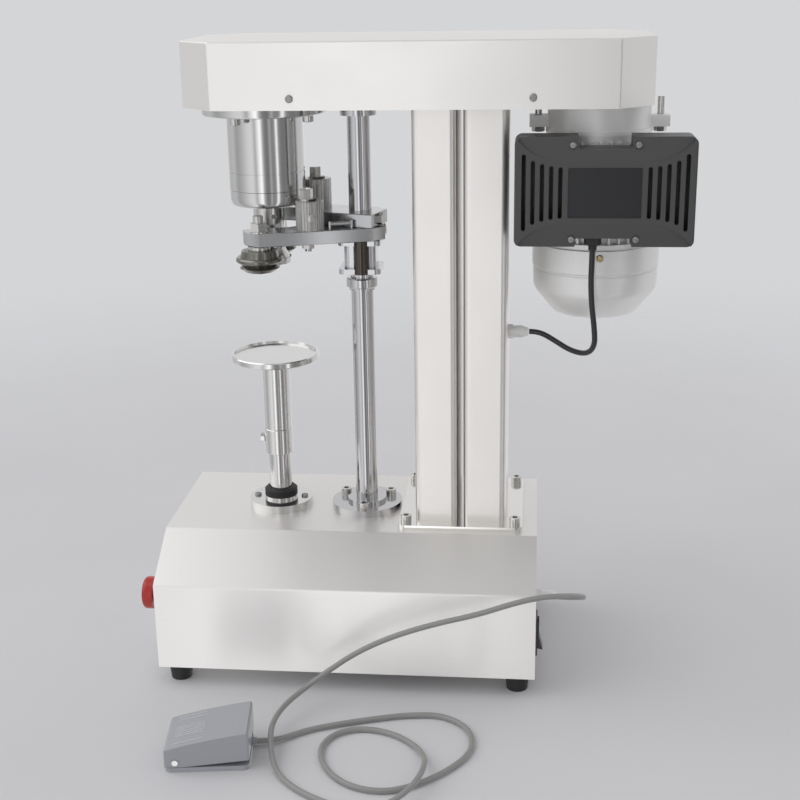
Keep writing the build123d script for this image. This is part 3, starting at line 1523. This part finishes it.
def can_table():
    """Round can table with a raised rim and a stem that turns on the lift shaft."""
    stem_low = sleeve_bottom + sleeve_height + free_gap
    bore = lift_radius + running_gap
    floor = table_top - table_recess
    under = floor - table_floor
    inner = table_radius - table_rim_width
    edge = table_edge
    table = turned([(bore, stem_low), (stem_radius, stem_low), (stem_radius, under - table_floor),
                    (table_boss_radius, under), (table_radius - edge, under),
                    (table_radius, under + edge), (table_radius, table_top - edge),
                    (table_radius - edge, table_top), (inner + edge, table_top), (inner, floor),
                    (0, floor), (0, table_bore_top), (bore, table_bore_top)])
    return Pos(spindle_x, machine_y, 0) * table


def lift_cam():
    """Eccentric cam and its shaft under the lift shaft's follower."""
    axle = lift_bottom + lift_follower_radius / 2
    cam_top = axle - lift_follower_radius - free_gap
    centre = cam_top - cam_radius
    shaft_z = centre + cam_offset
    disc = Pos(0, 0, centre) * Rot(90, 0, 0) * Cylinder(cam_radius, cam_thickness)
    reach = gearbox_front - machine_y
    shaft = Pos(0, reach / 2, shaft_z) * Rot(90, 0, 0) * Cylinder(cam_shaft_radius, reach)
    return Pos(spindle_x, machine_y, 0) * (disc + shaft)


def lift_drive():
    """Gearbox and motor on the bottom plate, with the lift cam on the output shaft."""
    axle = lift_bottom + lift_follower_radius / 2
    shaft_z = axle - lift_follower_radius - free_gap - cam_radius + cam_offset
    low = foot_height + base_sheet
    box = block(-gearbox_width / 2, gearbox_width / 2, -gearbox_depth / 2, gearbox_depth / 2, low,
                low + gearbox_height)
    box = fillet(box.edges().filter_by(Axis.Z), gearbox_corner)
    motor = Pos(gearbox_width / 2 + drive_motor_length / 2, 0, shaft_z) * Rot(0, 90, 0) * Cylinder(
        drive_motor_radius, drive_motor_length)
    return Pos(spindle_x, gearbox_y, 0) * (box + motor) + lift_cam()


def along_minus_x(x, y, z, shape):
    """Turn a piece drawn along +Z so that it points along -X from a place."""
    return Pos(x, y, z) * Rot(0, -90, 0) * shape


def estop_body():
    """Fixed collar and contact block of the emergency stop."""
    bore = estop_stem_radius + running_gap
    inside = estop_body_length
    body = turned([(bore, -inside), (estop_body_radius, -inside), (estop_body_radius, 0),
                   (estop_collar_radius, 0), (estop_collar_radius, estop_collar_height),
                   (bore, estop_collar_height)])
    block_low = -inside - estop_block_length
    contact = block(-estop_block_height / 2, estop_block_height / 2, -estop_block_width / 2,
                    estop_block_width / 2, block_low, -inside)
    return along_minus_x(-base_length / 2, estop_y, estop_z, body + contact)


def estop_button():
    """Mushroom cap with its stem."""
    tip = estop_tip - base_length / 2
    cap_low = tip - estop_cap_thickness
    stem_low = -estop_body_length + estop_travel + free_gap
    cap = upright(estop_radius, cap_low, tip)
    cap = fillet(cap.edges().group_by(Axis.Z)[-1], estop_cap_rounding)
    cap += upright(estop_neck_radius, estop_collar_height + estop_travel + free_gap, cap_low)
    cap += upright(estop_stem_radius, stem_low, cap_low)
    return along_minus_x(-base_length / 2, estop_y, estop_z, cap)


def rocker_body():
    """Fixed frame and housing of the rocker switch."""
    frame = Box(rocker_width, rocker_height, rocker_flange, align=(Align.CENTER, Align.CENTER, Align.MIN))
    body_width = rocker_width - 2 * rocker_flange_rim
    body_height = rocker_height - 2 * rocker_flange_rim
    body = Box(body_width, body_height, rocker_body_depth, align=(Align.CENTER, Align.CENTER, Align.MAX))
    mouth = Box(body_width - 2 * rocker_cap_gap - rocker_flange, body_height - rocker_flange,
                rocker_flange + rocker_cap_depth + 2 * overrun, align=(Align.CENTER, Align.CENTER, Align.MAX))
    shell = frame + body - Pos(0, 0, overrun) * mouth
    shell -= Rot(0, 90, 0) * Cylinder(rocker_pivot_radius + running_gap, body_width)
    return switch_place(shell)


def switch_place(shape):
    """Put a piece drawn in the right end's plane, x along the depth and y up, on the right end."""
    return Plane(origin=(base_length / 2, rocker_y, rocker_z), x_dir=(0, 1, 0), z_dir=(1, 0, 0)) * shape


def power_rocker():
    """Rocker cap: a shallow V that tilts about its middle."""
    width = rocker_width - 2 * rocker_flange_rim - 4 * rocker_cap_gap - rocker_flange
    half = rocker_height / 2 - rocker_flange_rim - rocker_flange / 2 - rocker_cap_gap * 4
    rise = half * sin(radians(rocker_tilt))
    stand = rocker_flange + rocker_cap_stand
    outline = [(-half, stand + 2 * rise), (0, stand), (half, stand), (half - rise, -rocker_cap_stand),
               (0, -rocker_cap_depth + rocker_cap_stand), (-half + rise, -rocker_cap_stand)]
    cap = extrude(Plane.YZ * make_face(Polyline(*outline, close=True)), amount=width / 2, both=True)
    span = rocker_width - 2 * rocker_flange_rim - 2 * rocker_cap_gap
    cap += Rot(0, 90, 0) * Cylinder(rocker_pivot_radius, span)
    return switch_place(cap)


def power_inlet():
    """Three-pin mains inlet in the back of the base."""
    face = base_depth + inlet_flange
    flange = Pos(0, 0, -inlet_flange) * extrude(
        RectangleRounded(inlet_width, inlet_height, inlet_corner_cut), amount=inlet_flange)
    body = Pos(0, 0, -inlet_flange - inlet_body_depth) * extrude(
        Rectangle(inlet_body_width, inlet_body_height), amount=inlet_body_depth)
    half_width = inlet_mouth_width / 2
    half_height = inlet_mouth_height / 2
    cut = inlet_corner_cut
    mouth = make_face(Polyline((-half_width, -half_height), (half_width, -half_height),
                               (half_width, half_height - cut), (half_width - cut, half_height),
                               (cut - half_width, half_height), (-half_width, half_height - cut), close=True))
    inlet = flange + body - Pos(0, 0, -inlet_mouth_depth) * extrude(mouth, amount=inlet_mouth_depth + overrun)
    for side, rise in ((-1, -inlet_blade_height / 2), (1, -inlet_blade_height / 2), (0, inlet_blade_height)):
        inlet += Pos(side * inlet_blade_span, rise, -inlet_mouth_depth) * Box(
            inlet_blade_width, inlet_blade_height, inlet_blade_length,
            align=(Align.CENTER, Align.CENTER, Align.MIN))
    for side in (-1, 1):
        inlet -= Pos(side * inlet_screw_span / 2, 0, -inlet_flange) * Cylinder(
            screw_diameter / 2 + seat_gap, inlet_flange * 3)
    return Plane(origin=(inlet_x, face, inlet_z), x_dir=(-1, 0, 0), z_dir=(0, 1, 0)) * inlet


def on_pedal(shape):
    """Place a piece drawn in the pedal's own frame, x from the hinge end and y from the front."""
    return Pos(pedal_x, pedal_y, 0) * Rot(0, 0, pedal_turn) * shape


def pedal_base():
    """Pedal base: rounded plate, hinge block, micro switch, stop and cable relief."""
    plate = Pos(pedal_length / 2, pedal_width / 2, 0) * extrude(
        RectangleRounded(pedal_length, pedal_width, pedal_corner), amount=pedal_plate)
    plate = fillet(plate.edges().group_by(Axis.Z)[-1], pedal_edge / 2)
    side = pedal_shell + pedal_skirt_gap
    hinge = block(pedal_block_inset, pedal_block_length, side, pedal_width - side, pedal_plate / 2,
                  pedal_block_height)
    hinge = fillet(hinge.edges().filter_by(Axis.Y).group_by(Axis.Z)[-1], pedal_edge)
    base = plate + hinge
    base -= Pos(pedal_pin_along, pedal_width / 2, pedal_pin_height) * Rot(90, 0, 0) * Cylinder(
        pedal_pin_radius, pedal_width * 2)
    base += block(pedal_switch_along, pedal_switch_along + pedal_switch_length,
                  pedal_width / 2 - pedal_switch_width, pedal_width / 2, pedal_plate / 2,
                  pedal_plate + pedal_switch_height)
    boot = Pos(pedal_length, pedal_cable_across, pedal_cable_height) * Rot(0, 90, 0) * Cylinder(
        pedal_relief_radius, pedal_relief_length, align=(Align.CENTER, Align.CENTER, Align.MIN))
    boot += block(pedal_length - pedal_corner, pedal_length, pedal_cable_across - pedal_relief_radius,
                  pedal_cable_across + pedal_relief_radius, pedal_plate / 2,
                  pedal_cable_height + pedal_relief_radius)
    boot += Pos(pedal_length - pedal_corner, pedal_cable_across, pedal_cable_height) * Rot(
        0, 90, 0) * Cylinder(pedal_relief_radius, pedal_corner, align=(Align.CENTER, Align.CENTER, Align.MIN))
    return on_pedal(base + boot)


def pedal_side(inset):
    """Side outline of the pedal cover as (x, z) lines: heel, curved top and toe."""
    heel = inset
    toe = pedal_length - inset
    low = pedal_plate + pedal_skirt_gap
    knee = (pedal_knee_along, pedal_knee_height - inset)
    top_start = (heel + pedal_edge, pedal_heel_height - inset)
    top_end = (toe - pedal_edge, pedal_toe_height - inset)
    return [Line((heel, low), (heel, pedal_heel_height - inset - pedal_edge)),
            Line((heel, pedal_heel_height - inset - pedal_edge), top_start),
            Spline(top_start, knee, top_end),
            Line(top_end, (toe, pedal_toe_height - inset - pedal_edge)),
            Line((toe, pedal_toe_height - inset - pedal_edge), (toe, low + pedal_toe_gap)),
            Line((toe, low + pedal_toe_gap), (pedal_block_length, low)),
            Line((pedal_block_length, low), (heel, low))]


def pedal_cover():
    """Pedal cover: a hollow wedge with a curved tread, hinged at its heel."""
    outer = extrude(Plane.XZ * make_face(pedal_side(0.0)), amount=-pedal_width)
    outer = fillet(outer.edges().filter_by(Axis.Z), pedal_edge)
    inner = extrude(Plane.XZ * make_face(pedal_side(pedal_shell)), amount=-(pedal_width - 2 * pedal_shell))
    inner = Pos(0, pedal_shell, 0) * inner
    below = block(pedal_shell, pedal_length - pedal_shell, pedal_shell, pedal_width - pedal_shell, 0,
                  pedal_plate + pedal_toe_gap + pedal_edge)
    cover = outer - inner - below
    cover -= Pos(pedal_pin_along, pedal_width / 2, pedal_pin_height) * Rot(90, 0, 0) * Cylinder(
        pedal_pin_radius + running_gap, pedal_width * 2)
    exit_height = pedal_cable_height + pedal_relief_radius + pedal_toe_gap
    cover -= block(pedal_length - pedal_corner, pedal_length + overrun,
                   pedal_cable_across - pedal_relief_radius - pedal_skirt_gap,
                   pedal_cable_across + pedal_relief_radius + pedal_skirt_gap, 0, exit_height)
    return on_pedal(cover)


def pedal_pin():
    """Hinge pin across the pedal."""
    pin = Rot(90, 0, 0) * Cylinder(pedal_pin_radius, pedal_width + 2 * free_gap)
    head = Cylinder(pedal_pin_head_radius, pedal_pin_head)
    for side in (-1, 1):
        reach = pedal_width / 2 + free_gap + pedal_pin_head / 2
        pin += Pos(0, side * reach, 0) * Rot(90, 0, 0) * head
    return on_pedal(Pos(pedal_pin_along, pedal_width / 2, pedal_pin_height) * pin)


def pedal_cable():
    """Grey cable from the base gland to the pedal."""
    return cord_tube(cable_points, cable_radius, "cable")


def socket_head_bolts():
    """Socket head bolts of the foot plate, the shaft foot and the spindle housing."""
    bolts = [socket_bolt(x, y, foot_plate_top, bolt_length) for x, y in foot_bolt_places()]
    bolts += [socket_bolt(x, y, base_top + rod_foot_height, bolt_length) for x, y in rod_foot_bolt_places()]
    for x, y, _ in polar(housing_bolt_count, housing_bolt_circle / 2, housing_bolt_angle):
        bolts.append(socket_bolt(spindle_x + x, machine_y + y, head_bottom - flange_thickness, bolt_length,
                                 down=False))
    return Compound(bolts)


def hex_bolts():
    """Hexagon bolts beside the column and in the motor's lugs, with their heads below."""
    places = hex_bolt_places()
    bolts = [hex_bolt(x, y, head_bottom, hex_bolt_length, down=False) for x, y in places[:2]]
    length = head_bottom - motor_neck_bottom + head_plate_thickness / 2
    bolts += [hex_bolt(x, y, motor_neck_bottom, length, down=False) for x, y in places[2:]]
    return Compound(bolts)


pieces = (
    base_shell, base_bottom_plate, rubber_feet, inner_plate, column_foot_plate, column_tubes,
    socket_head_bolts, hex_bolts, panel_screws, head_plate, head_cover,
    spindle_housing, spindle_end_cap, spindle_bearings, spindle_shaft, chuck_adapter, seaming_chuck,
    spindle_pulley, motor_mount, motor_body, motor_end_cowl, motor_rotor, motor_fan, motor_pulley,
    drive_belt, control_box_front, control_box_back, cable_boot, motor_lead, cable_glands,
    lever_shaft, shaft_foot_flange, shaft_top_collar, shaft_collar, follower_arm, front_lever,
    rear_lever, adjuster_drums, lever_bolts, lever_spring, lever_spool, spool_pin, first_roller,
    second_roller, roller_pins, lift_flange, lift_seal, lift_shaft, table_sleeve, can_table,
    estop_body, estop_button, rocker_body, power_rocker, power_inlet, lift_drive,
    pedal_base, pedal_cover, pedal_pin, pedal_cable,
)

os.makedirs("parts", exist_ok=True)
for piece in pieces:
    export_step(Pos(-origin_x, -origin_y, 0) * piece(), f"parts/{piece.__name__}.step")
